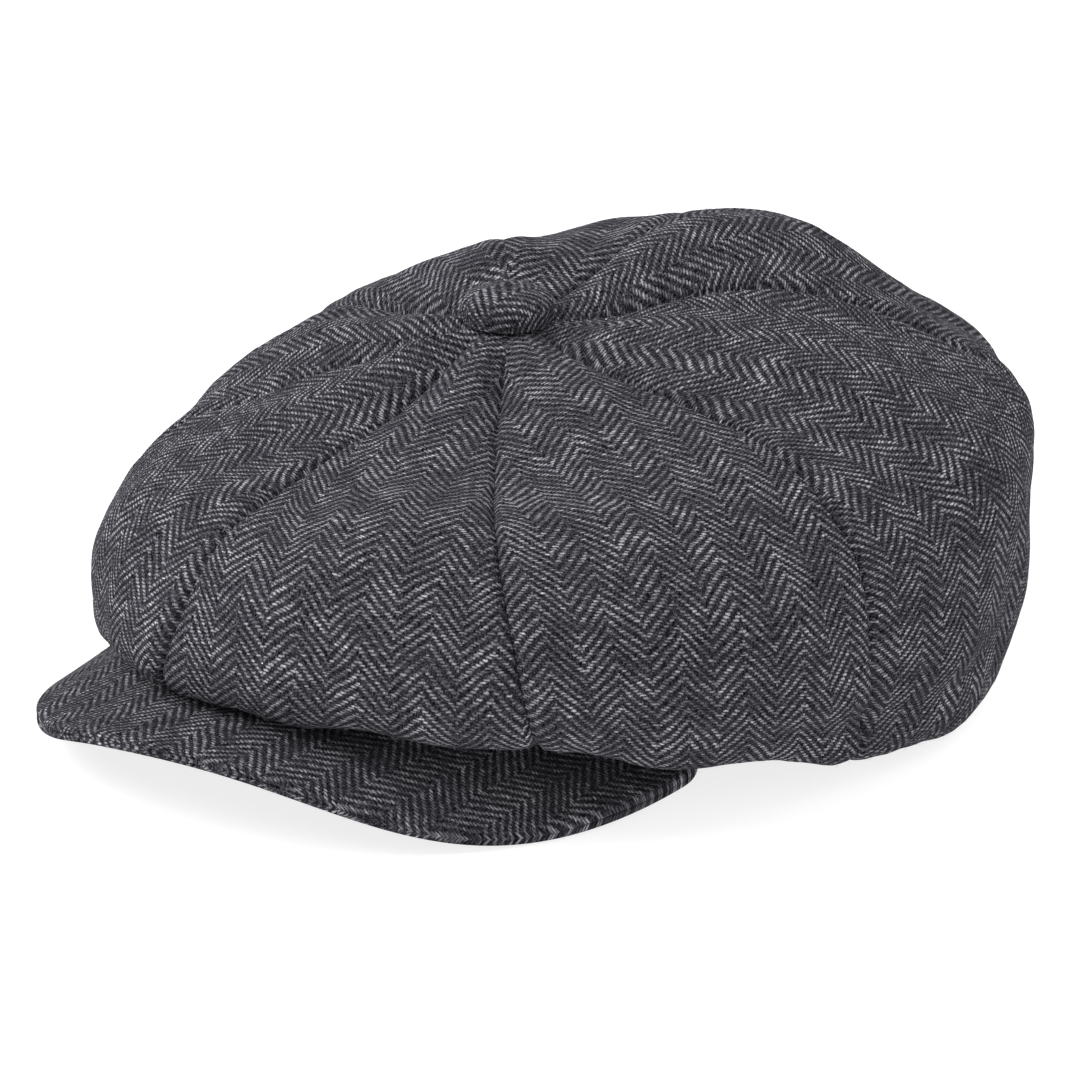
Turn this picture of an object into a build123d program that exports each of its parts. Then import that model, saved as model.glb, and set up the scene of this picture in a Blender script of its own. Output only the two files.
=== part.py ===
"""Eight-panel newsboy cap: a soft crown of eight gores over a head band, with a stiff visor.

The cap stands on its table: +Z is up, the visor points to -Y and +X is the wearer's left. The origin is at
the middle of the cap's footprint box, on the table.
"""

import os
from math import asin, atan, cos, degrees, exp, hypot, pi, radians, sin, sqrt

from build123d import *

os.makedirs("parts", exist_ok=True)

# ---------------------------------------------------------------- driving dimensions (mm)
# Head band: an oval ring of outer cloth, stiffener and sweatband, tilted up at the visor
head_width = 162.0  # inside of the sweatband, side to side
head_length = 203.0  # inside of the sweatband, front to back
head_set_back = 12.0  # middle of the head oval behind the button
sweatband_thickness = 1.0
stiffener_thickness = 0.8
band_thickness = 1.6
band_height = 28.0
band_low_front = 22.0  # lower edge of the band over the table, at the visor
band_low_back = 3.0  # and at the back of the head
layer_gap = 0.15  # clearance between two layers of the band

# Crown: the outline in plan, the heights of its meridians and the thickness of its cloth
crown_overhang_side = 38.5  # crown wider than the head opening, on each side
crown_overhang_ends = 40.0  # and longer, at each end
crown_set_back = 13.0  # middle of the crown behind the button
crown_lean = 10.0  # the soft crown leans to the wearer's left
crown_top = 105.0  # top of the cloth beside the button
wide_height_front = 39.0  # height of the widest line, at the visor
wide_height_side = 42.0
wide_height_back = 79.0
wide_height_lean = 4.0  # higher on the wearer's left, lower on the right
crest_front = -13.0  # fall of the crown between button and edge, at the visor
crest_side = 2.0
crest_back = 14.0  # puff of the crown between button and edge, at the back
crest_lean = 3.0  # more puff on the wearer's right
ridge_rise = 12.0  # soft ridge along the back seam
ridge_angle = 172.0  # from the front, towards the wearer's left (degrees)
ridge_spread = 25.0
crown_low_side = 9.0  # height of the lower fold over the table, at the side
crown_low_back = 0.0
crown_seam_up = 12.0  # seam of crown and band over the band's lower edge
tuck_power = 1.2  # how the cloth rises from the lower fold in to that seam
fold_share = 0.7  # place of the lower fold between the band and the widest line
shoulder_power = 2.15
underside_power = 2.2
panel_puff = 3.0  # swell of a panel between its two seams
seam_draw = 1.8  # how far a seam is drawn in at the widest line
cloth_thickness = 1.8
panel_count = 8
seam_gap = 0.1  # half angle between two panels at a seam (degrees)
panel_start = 3.0  # radius of the hole left at the button
gore_sections = 5  # upright sections that a gore is lofted through
shoulder_steps = 7  # points of a section from the button to the widest line
underside_steps = 4  # and from there to the lower fold

# Lining gores, inside the crown
lining_thickness = 0.6
lining_gap = 0.5

# Visor: a stiff board between two covers, flat along its crest and bent down at its sides
visor_overhang = 18.0  # visor wider than the head opening, on each side
visor_depth = 55.5  # front edge ahead of the head opening
visor_centre = 30.0  # widest line of the visor ahead of the button
visor_back = 26.0  # ends of the visor ahead of the button
visor_corner = 8.0
visor_fall_front = 37.5  # fall of the sides below the crest, in line with the front edge
visor_fall_back = 23.0  # and in line with the ends
visor_fall_margin = 6.0  # the fall is whole this far beyond the visor's side
visor_fall_power = 1.6  # flatness of the crest
visor_crest_rise = 9.0  # rise of the crest from the front edge to the ends
visor_cover_thickness = 1.1
visor_board_thickness = 2.0
visor_hem = 1.4  # covers beyond the board's edge
visor_fit = 0.1  # clearance round the board and to the band
crown_rest_gap = 0.6  # crown fold over the visor's top cover

# Button on the crown, its core and the washer that holds it from inside
button_diameter = 25.0
button_height = 9.0
button_cover_thickness = 1.0
button_lap = 0.8  # button over the cloth
shank_diameter = 5.0
washer_diameter = 18.0
washer_thickness = 1.0
washer_gap = 0.8

# ---------------------------------------------------------------- sizes that follow from them
panel_angle = 360 / panel_count
stiffener_inset = sweatband_thickness + layer_gap
band_inset = stiffener_inset + stiffener_thickness + layer_gap
band_outset = band_inset + band_thickness
band_half_width = head_width / 2 + band_outset
band_half_length = head_length / 2 + band_outset
band_slope = (band_low_front - band_low_back) / (2 * band_half_length)
band_middle_low = (band_low_front + band_low_back) / 2
crown_width = head_width + 2 * crown_overhang_side
crown_length = head_length + 2 * crown_overhang_ends
visor_width = head_width + 2 * visor_overhang
visor_reach = head_length / 2 - head_set_back + visor_depth
visor_fall_reach = visor_width / 2 + visor_fall_margin
visor_thickness = 2 * visor_cover_thickness + visor_board_thickness
visor_half_length = visor_reach - visor_centre


def oval_reach(angle, half_width, half_length, side, back):
    """Distance from the button axis to an oval set `side` and `back` of it, at an angle from the front."""
    dx, dy = sin(radians(angle)), -cos(radians(angle))
    a = (dx / half_width) ** 2 + (dy / half_length) ** 2
    b = dx * side / half_width**2 + dy * back / half_length**2
    c = (side / half_width) ** 2 + (back / half_length) ** 2 - 1
    return (b + sqrt(b * b - a * c)) / a


def visor_along(y, front, back):
    """Value that runs evenly from the visor's front edge to its ends."""
    return front + (back - front) * (y + visor_reach) / (visor_reach - visor_back)


def visor_fall(x):
    """Share of the sides' fall at a distance from the middle line, and its slope."""
    turn = pi / 2 * (abs(x) / visor_fall_reach) ** visor_fall_power
    steepness = sin(2 * turn) * turn * visor_fall_power / x if x else 0
    return sin(turn) ** 2, steepness


def visor_climb(x, y):
    """Height of the visor's underside over the crest of its front edge."""
    fall = visor_along(y, visor_fall_front, visor_fall_back)
    return visor_along(y, 0, visor_crest_rise) - fall * visor_fall(x)[0]


def visor_edge(angle):
    """Point on the visor's outer edge, at an angle of its ellipse from the front."""
    return visor_width / 2 * sin(radians(angle)), -visor_centre - visor_half_length * cos(radians(angle))


visor_front_height = -min(visor_climb(*visor_edge(angle)) for angle in range(0, 91))


def front_blend(angle, front, side, back):
    """Value that runs from front through side to back as the angle from the front grows."""
    share = cos(radians(angle))
    return side + (front - side if share > 0 else side - back) * share


def crown_reach(angle):
    return oval_reach(angle, crown_width / 2, crown_length / 2, crown_lean, crown_set_back)


def band_reach(angle):
    return oval_reach(angle, band_half_width, band_half_length, 0, head_set_back + crown_seam_up * band_slope)


def crown_seam_height(angle):
    """Height of the seam between crown and band."""
    behind = -band_reach(angle) * cos(radians(angle)) - head_set_back
    return band_middle_low - behind * band_slope + crown_seam_up


def fold_reach(angle):
    return band_reach(angle) + fold_share * (crown_reach(angle) - band_reach(angle))


def visor_top(y):
    """Height of the visor's top cover on its middle line."""
    return visor_front_height + visor_climb(0, y) + visor_thickness


crown_low_front = visor_top(-fold_reach(0)) + crown_rest_gap

# The footprint box runs from the visor's front edge to the crown's back, and over the crown's width
origin_y = (crown_set_back + crown_length / 2 - visor_reach) / 2
origin_x = crown_lean
button_axis = Vector(-origin_x, -origin_y, 0)


# ---------------------------------------------------------------- crown panels and lining gores
def meridian(angle, inset):
    """Points (reach, height) of the crown's outer face at an angle, or of a face `inset` inside it."""
    gather = (1 + cos(radians(panel_count * angle))) / 2
    left = sin(radians(angle))
    wide = crown_reach(angle) - seam_draw * gather - inset
    wide_height = front_blend(angle, wide_height_front, wide_height_side, wide_height_back)
    wide_height += wide_height_lean * left
    crest = front_blend(angle, crest_front, crest_side, crest_back) - crest_lean * left - panel_puff * gather
    crest += ridge_rise * exp(-(((angle - ridge_angle) / ridge_spread) ** 2))
    low = front_blend(angle, crown_low_front, crown_low_side, crown_low_back) + inset
    top = crown_top - inset
    start = superellipse_turn(button_diameter / 2 / wide)
    points = [(panel_start, top), (button_diameter / 2, top)]
    for step in range(1, shoulder_steps + 1):
        turn = start + (pi / 2 - start) * step / shoulder_steps
        reach = wide * sin(turn) ** (2 / shoulder_power)
        swell = crest * sin(pi * reach / wide) ** 2
        climb = (top - wide_height) * max(cos(turn), 0) ** (2 / shoulder_power)
        points.append((reach, wide_height + climb + swell))
    fold = fold_reach(angle)
    for step in range(1, underside_steps + 1):
        turn = pi / 2 * step / underside_steps
        reach = fold + (wide - fold) * max(cos(turn), 0) ** (2 / underside_power)
        points.append((reach, wide_height - (wide_height - low) * sin(turn) ** (2 / underside_power)))
    tuck = fold - band_reach(angle) - layer_gap
    rise = crown_seam_height(angle) + inset - low
    for share in (0.5, 1):
        points.append((fold - tuck * share, low + rise * share**tuck_power))
    return points


def superellipse_turn(share):
    """Turn at which the shoulder's superellipse has a share of its whole reach."""
    return asin(share ** (shoulder_power / 2))


def meridian_plane(angle):
    """Upright plane through the button axis: its x runs outwards at the angle, its y runs up."""
    outwards = Vector(sin(radians(angle)), -cos(radians(angle)), 0)
    return Plane(origin=button_axis, x_dir=outwards, z_dir=outwards.cross(Vector(0, 0, 1)))


def gore(name, first_angle, inset, thickness):
    """One gore of cloth between two seams, `inset` inside the crown's outer face."""
    with BuildPart() as piece:
        for step in range(gore_sections):
            angle = first_angle + seam_gap + (panel_angle - 2 * seam_gap) * step / (gore_sections - 1)
            outer = meridian(angle, inset)
            inner = meridian(angle, inset + thickness)
            with BuildSketch(meridian_plane(angle)):
                with BuildLine():
                    Spline(*outer)
                    Line(outer[-1], inner[-1])
                    Spline(*reversed(inner))
                    Line(inner[0], outer[0])
                make_face()
        loft()
    piece.part.label = name
    export_step(piece.part, f"parts/{name}.step")


places = ["front_left", "side_left_front", "side_left_back", "back_left"]
places += ["back_right", "side_right_back", "side_right_front", "front_right"]
for number, place in enumerate(places):
    gore(f"crown_panel_{place}", number * panel_angle, 0, cloth_thickness)
for number, place in enumerate(places):
    gore(f"lining_gore_{place}", number * panel_angle, cloth_thickness + lining_gap, lining_thickness)


# ---------------------------------------------------------------- head band
band_tilt = degrees(atan(band_slope))
band_plane = Plane(
    origin=button_axis + Vector(0, head_set_back, band_middle_low),
    x_dir=(1, 0, 0),
    z_dir=(0, sin(radians(band_tilt)), cos(radians(band_tilt))),
)


def band_ring(name, inset, thickness):
    """Oval ring of the head band, its inner face `inset` outside the head opening."""
    with BuildPart() as ring:
        with BuildSketch(band_plane):
            Ellipse(head_width / 2 + inset + thickness, head_length / 2 + inset + thickness)
            Ellipse(head_width / 2 + inset, head_length / 2 + inset, mode=Mode.SUBTRACT)
        extrude(amount=band_height)
    ring.part.label = name
    export_step(ring.part, f"parts/{name}.step")


band_ring("sweatband", 0, sweatband_thickness)
band_ring("band_stiffener", stiffener_inset, stiffener_thickness)
band_ring("outer_band", band_inset, band_thickness)


# ---------------------------------------------------------------- visor
visor_tall = 100.0  # more than the visor's own height
visor_overrun = 10.0  # how far the bent slab runs past the visor, front and back
visor_side_overrun = 9.0  # and how far it runs past each side
slab_half_width = visor_width / 2 + visor_side_overrun
slab_steps = 24  # points across the bent slab


def slab_line(y, rise):
    """Points across the visor, at a distance square to its underside."""
    points = []
    for step in range(slab_steps + 1):
        x = slab_half_width * (2 * step / slab_steps - 1)
        slope = visor_along(y, visor_fall_front, visor_fall_back) * visor_fall(x)[1]
        stretch = rise / hypot(1, slope)
        points.append((x + slope * stretch, visor_front_height + visor_climb(x, y) + stretch))
    return points


def visor_slab(low, high):
    """Bent slab between two distances from the visor's underside."""
    with BuildPart() as slab:
        for y in (-visor_reach - visor_overrun, -visor_back + visor_overrun):
            with BuildSketch(Plane(origin=button_axis + Vector(0, y, 0), x_dir=(1, 0, 0), z_dir=(0, -1, 0))):
                with BuildLine():
                    over = Spline(*slab_line(y, high))
                    under = Spline(*slab_line(y, low))
                    Line(over @ 0, under @ 0)
                    Line(over @ 1, under @ 1)
                make_face()
        loft(ruled=True)
    return slab.part


def visor_layer(low, high, hem, fit):
    """Bent layer of the visor between two distances from its underside, `hem` short of the outer edge."""
    half_width = visor_width / 2 - hem
    half_length = visor_half_length - hem
    length = visor_half_length + visor_centre - visor_back - 2 * hem
    with BuildPart() as layer:
        with BuildSketch(Plane(origin=button_axis)):
            with Locations((0, -visor_centre)):
                Ellipse(half_width, half_length)
            with Locations((0, -visor_back - hem)):
                Rectangle(visor_width, length + hem, align=(Align.CENTER, Align.MAX), mode=Mode.INTERSECT)
        extrude(amount=visor_tall)
        fillet(layer.edges().filter_by(Axis.Z).group_by(Axis.Y)[-1].sort_by(lambda e: abs(e.center().X))[-2:],
               visor_corner)
        with BuildSketch(band_plane):
            Ellipse(band_half_width + fit, band_half_length + fit)
        extrude(amount=visor_tall, both=True, mode=Mode.SUBTRACT)
        add(visor_slab(low, high), mode=Mode.INTERSECT)
    return layer.part


board_low = visor_cover_thickness + visor_fit
board_high = visor_cover_thickness + visor_board_thickness - visor_fit
board_room = visor_layer(visor_cover_thickness, board_high + visor_fit, visor_hem - visor_fit, visor_fit / 2)
seam_height = visor_thickness / 2

with BuildPart() as visor_board:
    add(visor_layer(board_low, board_high, visor_hem, visor_fit))
with BuildPart() as visor_under_cover:
    add(visor_layer(0, seam_height, 0, visor_fit))
    add(board_room, mode=Mode.SUBTRACT)
with BuildPart() as visor_top_cover:
    add(visor_layer(seam_height, visor_thickness, 0, visor_fit))
    add(board_room, mode=Mode.SUBTRACT)
for name, piece in {
    "visor_board": visor_board,
    "visor_under_cover": visor_under_cover,
    "visor_top_cover": visor_top_cover,
}.items():
    piece.part.label = name
    export_step(piece.part, f"parts/{name}.step")


# ---------------------------------------------------------------- button
button_seat = crown_top + button_lap
button_radius = button_diameter / 2
core_radius = button_radius - button_cover_thickness
core_height = button_height - button_cover_thickness
core_edge = core_height * 0.3


upright = Plane(origin=button_axis + Vector(0, 0, button_seat), x_dir=(1, 0, 0), z_dir=(0, -1, 0))
turn_axis = Axis(button_axis, (0, 0, 1))


def dome(radius, height):
    """Low dome: an upright edge under a rounded top."""
    with BuildPart() as solid:
        with BuildSketch(upright):
            with BuildLine():
                Line((0, 0), (radius, 0))
                Line((radius, 0), (radius, core_edge))
                Spline((radius, core_edge), (0, height), tangents=[(0, 1), (-1, 0)])
                Line((0, height), (0, 0))
            make_face()
        revolve(axis=turn_axis)
    return solid.part


with BuildPart() as button_core:
    add(dome(core_radius, core_height))
with BuildPart() as button_cover:
    add(dome(button_radius, button_height))
    add(button_core.part, mode=Mode.SUBTRACT)

washer_top = crown_top - cloth_thickness - lining_gap - lining_thickness - washer_gap
with BuildPart() as button_shank:
    with BuildSketch(Plane(origin=button_axis + Vector(0, 0, washer_top - washer_thickness))):
        Circle(washer_diameter / 2)
    extrude(amount=washer_thickness)
    with BuildSketch(Plane(origin=button_axis + Vector(0, 0, washer_top))):
        Circle(shank_diameter / 2)
    extrude(amount=button_seat - washer_top)
for name, piece in {
    "button_core": button_core,
    "button_cover": button_cover,
    "button_shank": button_shank,
}.items():
    piece.part.label = name
    export_step(piece.part, f"parts/{name}.step")
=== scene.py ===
"""A charcoal herringbone newsboy cap on a white studio table.

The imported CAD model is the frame: every piece here takes its place from the CAD nodes' boxes and from the cap's
own sizes. Soft CAD solids are replaced by sewn cloth pieces, with a woven tweed made of nodes. Sizes are in
millimetres and become metres as each mesh is made. Angles run from the front towards the wearer's left.
"""

import logging
import math
from dataclasses import dataclass, field
from enum import Enum

import bpy
import numpy as np
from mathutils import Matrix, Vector


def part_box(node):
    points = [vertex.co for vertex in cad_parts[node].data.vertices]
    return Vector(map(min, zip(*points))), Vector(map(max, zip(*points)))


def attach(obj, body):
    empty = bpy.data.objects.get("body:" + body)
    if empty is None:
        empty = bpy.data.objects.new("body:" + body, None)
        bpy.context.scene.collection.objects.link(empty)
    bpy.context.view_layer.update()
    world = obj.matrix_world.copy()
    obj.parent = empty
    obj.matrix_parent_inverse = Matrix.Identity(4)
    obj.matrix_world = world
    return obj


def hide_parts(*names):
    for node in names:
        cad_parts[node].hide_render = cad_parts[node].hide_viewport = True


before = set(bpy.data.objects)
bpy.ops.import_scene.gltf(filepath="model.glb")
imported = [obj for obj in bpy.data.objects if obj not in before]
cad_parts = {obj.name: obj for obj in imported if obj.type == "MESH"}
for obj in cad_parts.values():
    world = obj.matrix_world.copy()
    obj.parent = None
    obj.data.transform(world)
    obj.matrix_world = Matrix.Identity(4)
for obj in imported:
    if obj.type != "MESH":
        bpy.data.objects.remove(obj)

logging.basicConfig(level=logging.INFO, format="%(message)s")
log = logging.getLogger("newsboy_cap")

Value = float | np.ndarray

MM = 0.001  # metres
BODY = "root"
PLACES = (
    "front_left",
    "side_left_front",
    "side_left_back",
    "back_left",
    "back_right",
    "side_right_back",
    "side_right_front",
    "front_right",
)


class Slot(Enum):
    """Names of the material slots of the record."""

    TWEED = "tweed"
    LINING = "lining"
    SWEATBAND = "sweatband"
    BOARD = "board"


class Face(Enum):
    """The two covered faces of the visor, and which way each lies from the board."""

    TOP = 1
    UNDER = -1


# ---------------------------------------------------------------- small helpers
def linear(hex_colour: str, alpha: float = 1.0) -> tuple:
    """Turn an sRGB hex colour into linear RGBA.

    Args:
        hex_colour: colour as "#rrggbb".
        alpha: opacity of the result.

    Returns:
        Linear red, green, blue and alpha.
    """
    parts = [int(hex_colour[i : i + 2], 16) / 255 for i in (1, 3, 5)]
    return (*[c / 12.92 if c <= 0.04045 else ((c + 0.055) / 1.055) ** 2.4 for c in parts], alpha)


def smooth_step(x: Value) -> Value:
    """Ease from 0 to 1 as x runs from 0 to 1."""
    x = np.clip(x, 0, 1)
    return x * x * (3 - 2 * x)


def rise(x: Value, start: float, length: float) -> Value:
    """Ease from 0 to 1 as x runs from start over a length."""
    return smooth_step((x - start) / length)


def bell(x: Value, middle: float, spread: float) -> Value:
    """Bell curve of height 1 round a middle value."""
    return np.exp(-(((x - middle) / spread) ** 2))


def ripple(points: np.ndarray, seed: int, shortest: float, longest: float, waves: int = 20) -> np.ndarray:
    """Smooth seeded noise: a sum of plane waves of random direction and phase.

    Args:
        points: positions in millimetres, last axis x, y, z.
        seed: seed of the random waves.
        shortest: shortest wavelength in millimetres.
        longest: longest wavelength in millimetres.
        waves: how many waves are added up.

    Returns:
        One value for each point, with a spread of about 1.
    """
    rng = np.random.default_rng(seed)
    total = np.zeros(points.shape[:-1])
    for _ in range(waves):
        way = rng.normal(size=3)
        way /= np.linalg.norm(way)
        wave_number = 2 * math.pi / rng.uniform(shortest, longest)
        total += np.sin(points @ (way * wave_number) + rng.uniform(0, 2 * math.pi))
    return total * math.sqrt(2 / waves)


def grid_normals(points: np.ndarray) -> np.ndarray:
    """Work out the unit normals of a grid of points from its finite differences.

    Args:
        points: positions, as an array (rows, columns, 3).

    Returns:
        Array of the same shape.
    """
    along = np.gradient(points, axis=0)
    across = np.gradient(points, axis=1)
    normal = np.cross(along, across)
    return normal / np.maximum(np.linalg.norm(normal, axis=-1, keepdims=True), 1e-12)


def mesh_object(
    name: str, points: np.ndarray, faces: list, uv: np.ndarray, material: bpy.types.Material
) -> bpy.types.Object:
    """Make a mesh piece, smooth shaded, that rides on the cap's body.

    Args:
        name: name of the piece.
        points: vertices in millimetres.
        faces: vertex indices of each face.
        uv: flat place of each vertex on its cloth, in millimetres.
        material: finish of the piece.

    Returns:
        The new object.
    """
    mesh = bpy.data.meshes.new(name)
    mesh.from_pydata((points * MM).tolist(), [], faces)
    layer = mesh.uv_layers.new(name="cloth")
    loops = np.zeros(len(mesh.loops), np.int32)
    mesh.loops.foreach_get("vertex_index", loops)
    layer.data.foreach_set("uv", (uv[loops] * MM).astype(np.float32).ravel())
    mesh.polygons.foreach_set("use_smooth", np.ones(len(mesh.polygons), bool))
    mesh.materials.append(material)
    mesh.update()
    piece = bpy.data.objects.new(name, mesh)
    bpy.context.scene.collection.objects.link(piece)
    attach(piece, BODY)
    log.info("%s: %d faces", name, len(faces))
    return piece


def grid_faces(rows: int, columns: int, start: int = 0, flip: bool = False, closed: bool = False) -> list:
    """List the quads of a grid of vertices that are numbered row by row.

    Args:
        rows: rows of vertices.
        columns: vertices in each row.
        start: number of the first vertex.
        flip: whether the faces turn the other way.
        closed: whether each row joins its last vertex to its first.

    Returns:
        Vertex indices of each quad.
    """
    faces = []
    for r in range(rows - 1):
        here, below = start + r * columns, start + (r + 1) * columns
        for c in range(columns if closed else columns - 1):
            d = (c + 1) % columns
            quad = (here + c, here + d, below + d, below + c)
            faces.append(quad[::-1] if flip else quad)
    return faces


def closed_cloth(
    name: str, outer: np.ndarray, uv: np.ndarray, thickness: float, material: bpy.types.Material
) -> bpy.types.Object:
    """Give a grid of outer points a thickness and close it along its four edges.

    Args:
        name: name of the piece.
        outer: outer face of the cloth, as an array (rows, columns, 3).
        uv: flat place of each outer point, in millimetres.
        thickness: thickness of the cloth in millimetres.
        material: finish of the piece.

    Returns:
        The new object.
    """
    rows, columns = outer.shape[:2]
    inner = outer - grid_normals(outer) * thickness
    points = np.concatenate([outer.reshape(-1, 3), inner.reshape(-1, 3)])
    half = rows * columns
    faces = grid_faces(rows, columns, flip=True) + grid_faces(rows, columns, half)
    rim = list(range(columns))
    rim += [r * columns + columns - 1 for r in range(1, rows)]
    rim += [(rows - 1) * columns + c for c in range(columns - 2, -1, -1)]
    rim += [r * columns for r in range(rows - 2, 0, -1)]
    for a, b in zip(rim, rim[1:] + rim[:1]):
        faces.append((a, b, b + half, a + half))
    flat = uv.reshape(-1, 2)
    return mesh_object(name, points, faces, np.concatenate([flat, flat]), material)


# ---------------------------------------------------------------- sizes of the cap
@dataclass(frozen=True)
class CrownSizes:
    """Sizes of the soft crown, in millimetres, as in the CAD source."""

    width: float = 239.0
    length: float = 283.0
    set_back: float = 13.0
    lean: float = 10.0
    wide_front: float = 39.0  # height of the widest line at the front, side and back
    wide_side: float = 42.0
    wide_back: float = 79.0
    wide_lean: float = 4.0
    crest_front: float = -13.0  # swell of the dome half way down, at the front, side and back
    crest_side: float = 2.0
    crest_back: float = 14.0
    crest_lean: float = 3.0
    ridge_rise: float = 12.0  # raised ridge at the back
    ridge_angle: float = math.radians(172.0)
    ridge_spread: float = math.radians(25.0)
    rest_gap: float = 0.6  # between the crown and the visor that it rests on
    low_side: float = 9.0
    low_back: float = 0.0
    fold_share: float = 0.7  # place of the lower fold between the band and the widest line
    shoulder_power: float = 2.15
    underside_power: float = 2.2
    puff: float = 3.0
    seam_draw: float = 1.8
    cloth: float = 1.6
    button_lap: float = 0.8  # the button's rim lies this far above the crown's top


@dataclass(frozen=True)
class BandSizes:
    """Sizes of the head band's layers, in millimetres."""

    width: float = 162.0
    length: float = 203.0
    set_back: float = 12.0
    sweatband: float = 1.0
    outer_from: float = 2.1
    outer_to: float = 3.7
    height: float = 28.0
    low_front: float = 22.0
    low_back: float = 3.0
    seam_up: float = 12.0

    @property
    def slope(self) -> float:
        """Rise of the band's lower edge from back to front, for each millimetre."""
        return (self.low_front - self.low_back) / (self.length + 2 * self.outer_to)


@dataclass(frozen=True)
class VisorSizes:
    """Sizes of the covered visor, in millimetres."""

    width: float = 198.0
    reach: float = 145.0
    centre: float = 30.0
    back: float = 26.0
    corner: float = 8.0
    fall_front: float = 37.5
    fall_back: float = 23.0
    fall_reach: float = 105.0
    fall_power: float = 1.6
    crest_rise: float = 9.0
    thickness: float = 4.2
    hem: float = 1.4
    board: float = 2.0
    droop: float = 7.8  # the worn board sinks this much at its front, right of the middle
    droop_side: float = -42.0
    droop_spread: float = 32.0
    droop_from: float = 88.0  # in front of the button's axis
    droop_run: float = 55.0


class Cap:
    """The cap's axis, heights and outlines, found from the CAD frame."""

    def __init__(self) -> None:
        """Read the button's box and work out the heights that follow from the sizes."""
        self.crown = CrownSizes()
        self.band = BandSizes()
        self.visor = VisorSizes()
        low, high = (np.array(corner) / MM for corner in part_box("button_cover"))
        self.axis = np.array([(low[0] + high[0]) / 2, (low[1] + high[1]) / 2, 0.0])
        self.button_low, self.button_high = low[2], high[2]
        self.button_radius = (high[0] - low[0]) / 2
        self.crown_top = low[2] - self.crown.button_lap
        quarter = range(91)  # degrees
        self.visor_front_height = -min(self.visor_climb(*self.visor_edge(math.radians(a))) for a in quarter)
        front_fold = self.band_reach(0.0) + self.crown.fold_share * (self.crown_reach(0.0) - self.band_reach(0.0))
        on_visor = self.visor_front_height + self.visor_climb(0.0, -front_fold) + self.visor.thickness
        self.low_front = on_visor + self.crown.rest_gap

    @staticmethod
    def oval_reach(angle: Value, half_width: float, half_length: float, side: float, back: float) -> Value:
        """Distance from the button's axis to an oval round it.

        Args:
            angle: angle from the front, in radians.
            half_width: half of the oval's width.
            half_length: half of the oval's length.
            side: how far the oval's middle is set to the wearer's left.
            back: how far the oval's middle is set back.

        Returns:
            Distance in millimetres.
        """
        dx, dy = np.sin(angle), -np.cos(angle)
        a = (dx / half_width) ** 2 + (dy / half_length) ** 2
        b = dx * side / half_width**2 + dy * back / half_length**2
        c = (side / half_width) ** 2 + (back / half_length) ** 2 - 1
        return (b + np.sqrt(b * b - a * c)) / a

    def crown_reach(self, angle: Value) -> Value:
        """Reach of the crown's widest line."""
        c = self.crown
        return self.oval_reach(angle, c.width / 2, c.length / 2, c.lean, c.set_back)

    def band_reach(self, angle: Value, outset: float = 3.7, up: float = 12.0) -> Value:
        """Reach of an oval of the head band, at a height up its wall."""
        b = self.band
        return self.oval_reach(angle, b.width / 2 + outset, b.length / 2 + outset, 0, b.set_back + up * b.slope)

    def band_height(self, angle: Value, up: float) -> Value:
        """Height of a line that runs round the band.

        Args:
            angle: angle from the front, in radians.
            up: distance up from the band's lower edge.

        Returns:
            Height in millimetres.
        """
        b = self.band
        behind = -self.band_reach(angle, up=up) * np.cos(angle) - b.set_back
        return (b.low_front + b.low_back) / 2 - behind * b.slope + up

    def visor_along(self, y: Value, front: float, back: float) -> Value:
        """Value that runs evenly from the visor's front edge to its ends."""
        v = self.visor
        return front + (back - front) * (y + v.reach) / (v.reach - v.back)

    def visor_climb(self, x: Value, y: Value) -> Value:
        """Height of the visor's underside over the crest of its front edge.

        Args:
            x: distance to the wearer's left of the button's axis.
            y: distance behind the button's axis.

        Returns:
            Height in millimetres.
        """
        v = self.visor
        share = np.sin(math.pi / 2 * (np.abs(x) / v.fall_reach) ** v.fall_power) ** 2
        return self.visor_along(y, 0, v.crest_rise) - self.visor_along(y, v.fall_front, v.fall_back) * share

    def visor_edge(self, angle: Value) -> tuple:
        """Point of the visor's outer edge in plan, at an angle of its ellipse."""
        v = self.visor
        return v.width / 2 * np.sin(angle), -v.centre - (v.reach - v.centre) * np.cos(angle)

    @staticmethod
    def blend(angle: Value, front: float, side: float, back: float) -> Value:
        """Value that runs from front through side to back as the angle from the front grows."""
        share = np.cos(angle)
        return side + np.where(share > 0, front - side, side - back) * share


# ---------------------------------------------------------------- materials
def add_node(
    tree: bpy.types.NodeTree, kind: str, links: dict = None, values: dict = None, **settings
) -> bpy.types.Node:
    """Add a shader node with its settings, links and values.

    Args:
        tree: node tree to add to.
        kind: Blender node type.
        links: input name or number to the socket that feeds it.
        values: input name or number to a constant.
        **settings: attributes of the node.

    Returns:
        The new node.
    """
    node = tree.nodes.new(kind)
    for name, value in settings.items():
        setattr(node, name, value)
    for socket, value in (values or {}).items():
        node.inputs[socket].default_value = value
    for socket, source in (links or {}).items():
        tree.links.new(source, node.inputs[socket])
    return node


def calc(tree: bpy.types.NodeTree, operation: str, *terms: float | bpy.types.NodeSocket) -> bpy.types.NodeSocket:
    """Do a sum in the shader, over sockets and numbers.

    Args:
        tree: node tree to add to.
        operation: name of the sum.
        *terms: sockets and numbers, in the order of its inputs.

    Returns:
        Socket with the result.
    """
    numbers = {i: term for i, term in enumerate(terms) if isinstance(term, (int, float))}
    sockets = {i: term for i, term in enumerate(terms) if i not in numbers}
    return add_node(tree, "ShaderNodeMath", sockets, numbers, operation=operation).outputs[0]


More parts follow.
